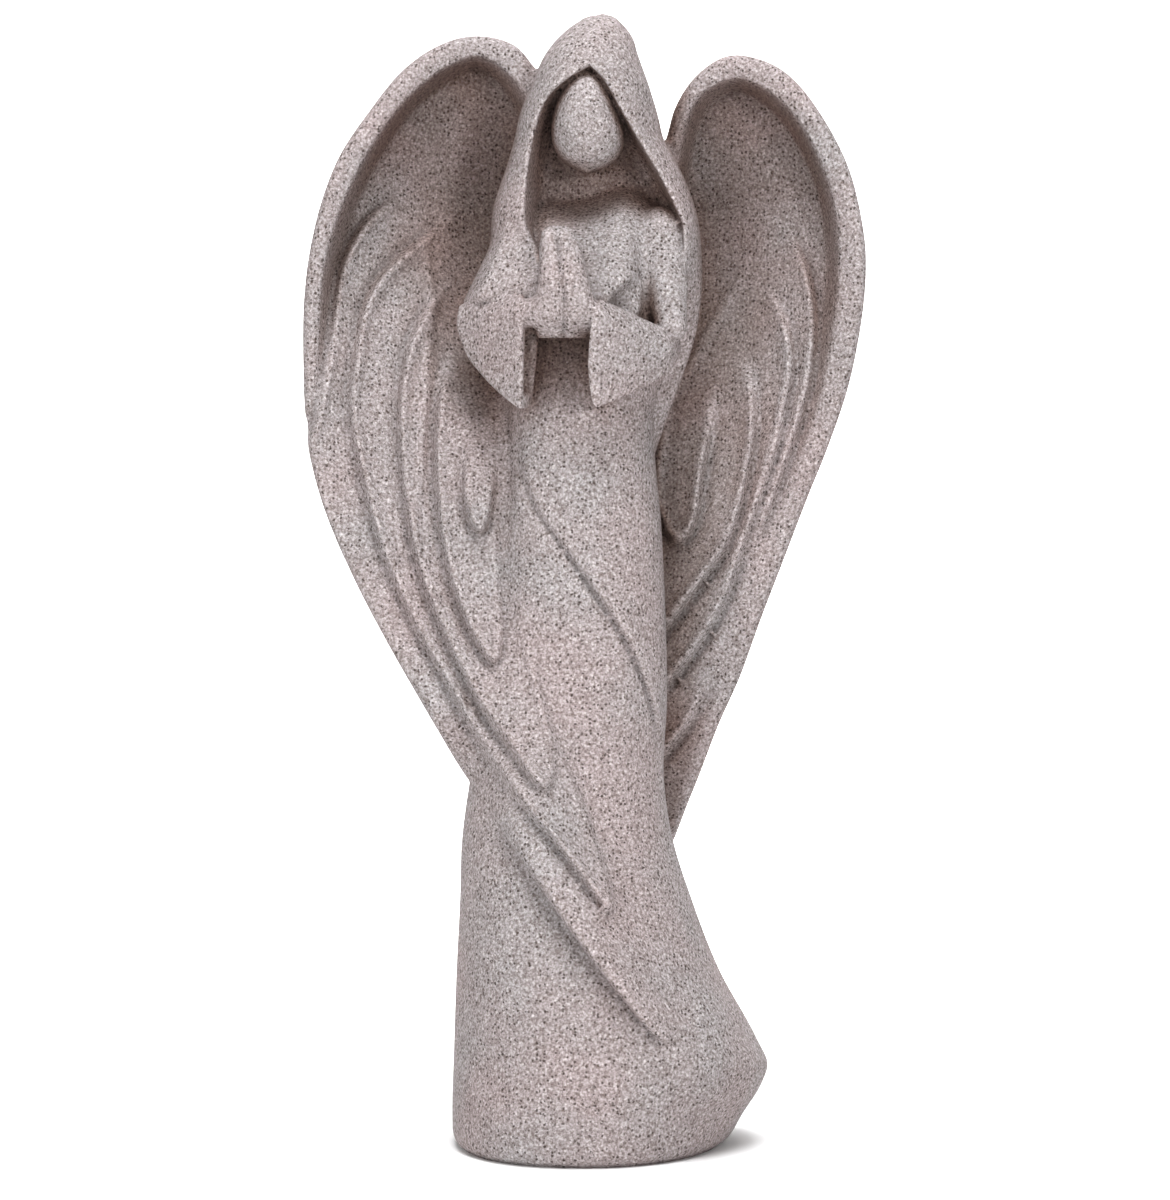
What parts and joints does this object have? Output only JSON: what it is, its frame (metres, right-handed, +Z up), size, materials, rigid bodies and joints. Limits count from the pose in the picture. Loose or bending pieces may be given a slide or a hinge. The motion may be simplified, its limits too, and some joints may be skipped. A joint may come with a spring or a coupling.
{
  "type": "angel figurine",
  "caption": "Standing hooded angel with folded hands and long wings that sweep round its gown, cast in one piece in speckled stone; a free-standing tabletop or grave ornament.",
  "frame": {"origin": "centre of the bounding box in plan, at the underside of the base", "axes": "+Z up, -Y out of the front of the figure (the side with the face and hands), +X to the right as a viewer in front sees it"},
  "size_m": [0.1294, 0.0786, 0.2594],
  "materials": {
    "speckled_stone": "matt, fine-grained, warm grey-beige with dark and light grains"
  },
  "bodies": {
    "root": {"angel_figurine": "speckled_stone"}
  },
  "joints": []
}
